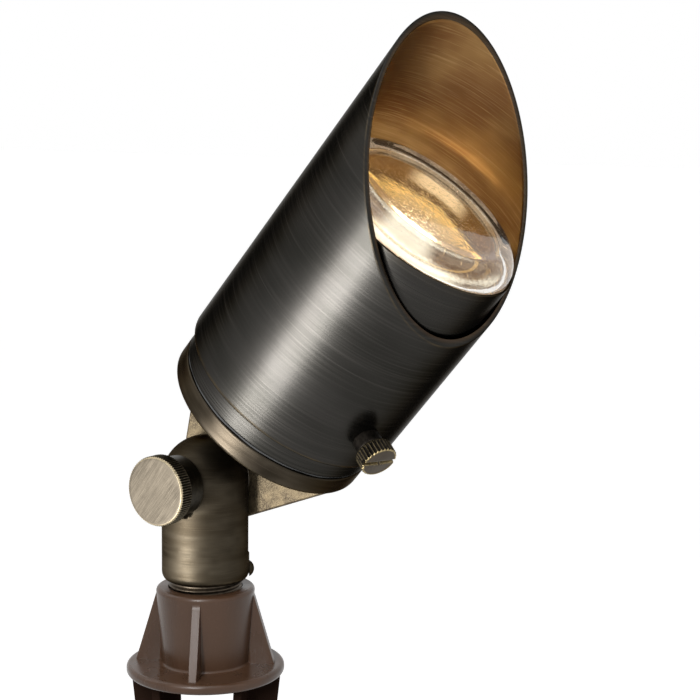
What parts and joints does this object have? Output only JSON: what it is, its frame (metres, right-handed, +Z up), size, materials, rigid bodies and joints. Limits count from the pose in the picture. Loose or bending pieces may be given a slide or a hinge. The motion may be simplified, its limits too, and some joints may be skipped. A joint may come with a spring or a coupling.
{
  "type": "outdoor spotlight",
  "caption": "Bullet-shaped garden spotlight in aged brass with a slanted sliding glare guard, on a tilting and swivelling knuckle over a moulded ground stake.",
  "frame": {"origin": "centre of the stake flange's underside, which rests on the soil", "axes": "+Z up along the knuckle, the head leans towards +X, and the tilt axis runs along Y with its thumb screw on the -Y side"},
  "size_m": [0.1099, 0.0635, 0.3852],
  "materials": {
    "stake_plastic": "brown moulded plastic, semi-gloss",
    "nipple_brass": "dark aged thread",
    "knuckle_brass": "aged, brushed round the stem",
    "screw_brass": "light aged, brushed face over a dark knurl",
    "cap_brass": "aged, lightly brushed, rough cast fin",
    "housing_brass": "dark bronze, brushed round",
    "guard_brass": "dark bronze outside, brushed round, golden satin inside",
    "guard_screw_brass": "dark bronze with worn brass edges",
    "rubber_black": "matt",
    "fibre_washer": "pressed fibre",
    "lead_cover": "smooth insulation",
    "lens_glass": "clear pressed glass",
    "lamp_glass": "clear cover glass",
    "lamp_glow": "lit quartz capsule",
    "lamp_mirror": "faceted coating",
    "lamp_ceramic": "unglazed ceramic",
    "pin_metal": "bright wire",
    "bracket_steel": "zinc plated"
  },
  "bodies": {
    "stake": {"ground_stake": "stake_plastic", "threaded_nipple": "nipple_brass"},
    "knuckle": {"knuckle_stem": "knuckle_brass", "set_screw": "knuckle_brass", "friction_washer": "fibre_washer", "supply_leads": "lead_cover"},
    "tilt_screw": {"tilt_thumb_screw": "screw_brass"},
    "head": {"rear_cap": "cap_brass", "cap_gasket": "rubber_black", "housing_body": "housing_brass", "tilt_lock_nut": "screw_brass", "lens": "lens_glass", "lens_gasket": "rubber_black", "lamp_reflector": "lamp_mirror", "lamp_cover": "lamp_glass", "lamp_capsule": "lamp_glow", "lamp_base": "lamp_ceramic", "lamp_pins": "pin_metal", "lamp_holder": "lamp_ceramic", "holder_bracket": "bracket_steel", "holder_screws": "screw_brass", "holder_leads": "lead_cover", "wire_grommet": "rubber_black"},
    "guard_ring": {"guard_o_ring": "rubber_black"},
    "guard": {"glare_guard": "guard_brass", "guard_screw_boss": "guard_brass"},
    "guard_screw": {"guard_thumb_screw": "guard_screw_brass"}
  },
  "joints": [
    {"name": "knuckle_swivel", "type": "hinge", "parent": "stake", "child": "knuckle", "pos_m": [0, 0, 0.0252], "axis": [0, 0, 1], "range_deg": [-180, 180]},
    {"name": "head_tilt", "type": "hinge", "parent": "knuckle", "child": "head", "pos_m": [0, 0, 0.05625], "axis": [0, 1, 0], "range_deg": [-70, 44]},
    {"name": "tilt_screw_turn", "type": "hinge", "parent": "knuckle", "child": "tilt_screw", "pos_m": [0, 0, 0.05625], "axis": [0, 1, 0], "range_deg": [0, 360]},
    {"name": "guard_turn", "type": "hinge", "parent": "head", "child": "guard_ring", "pos_m": [0, 0.00855, 0.05625], "axis": [0.6468, 0, 0.7627], "range_deg": [-180, 180]},
    {"name": "guard_slide", "type": "slide", "parent": "guard_ring", "child": "guard", "axis": [0.6468, 0, 0.7627], "range_m": [-0.005, 0.013]},
    {"name": "guard_screw_turn", "type": "hinge", "parent": "guard", "child": "guard_screw", "pos_m": [0.0314, 0.00855, 0.09328], "axis": [0.7274, -0.3007, -0.6169], "range_deg": [-360, 0]}
  ]
}
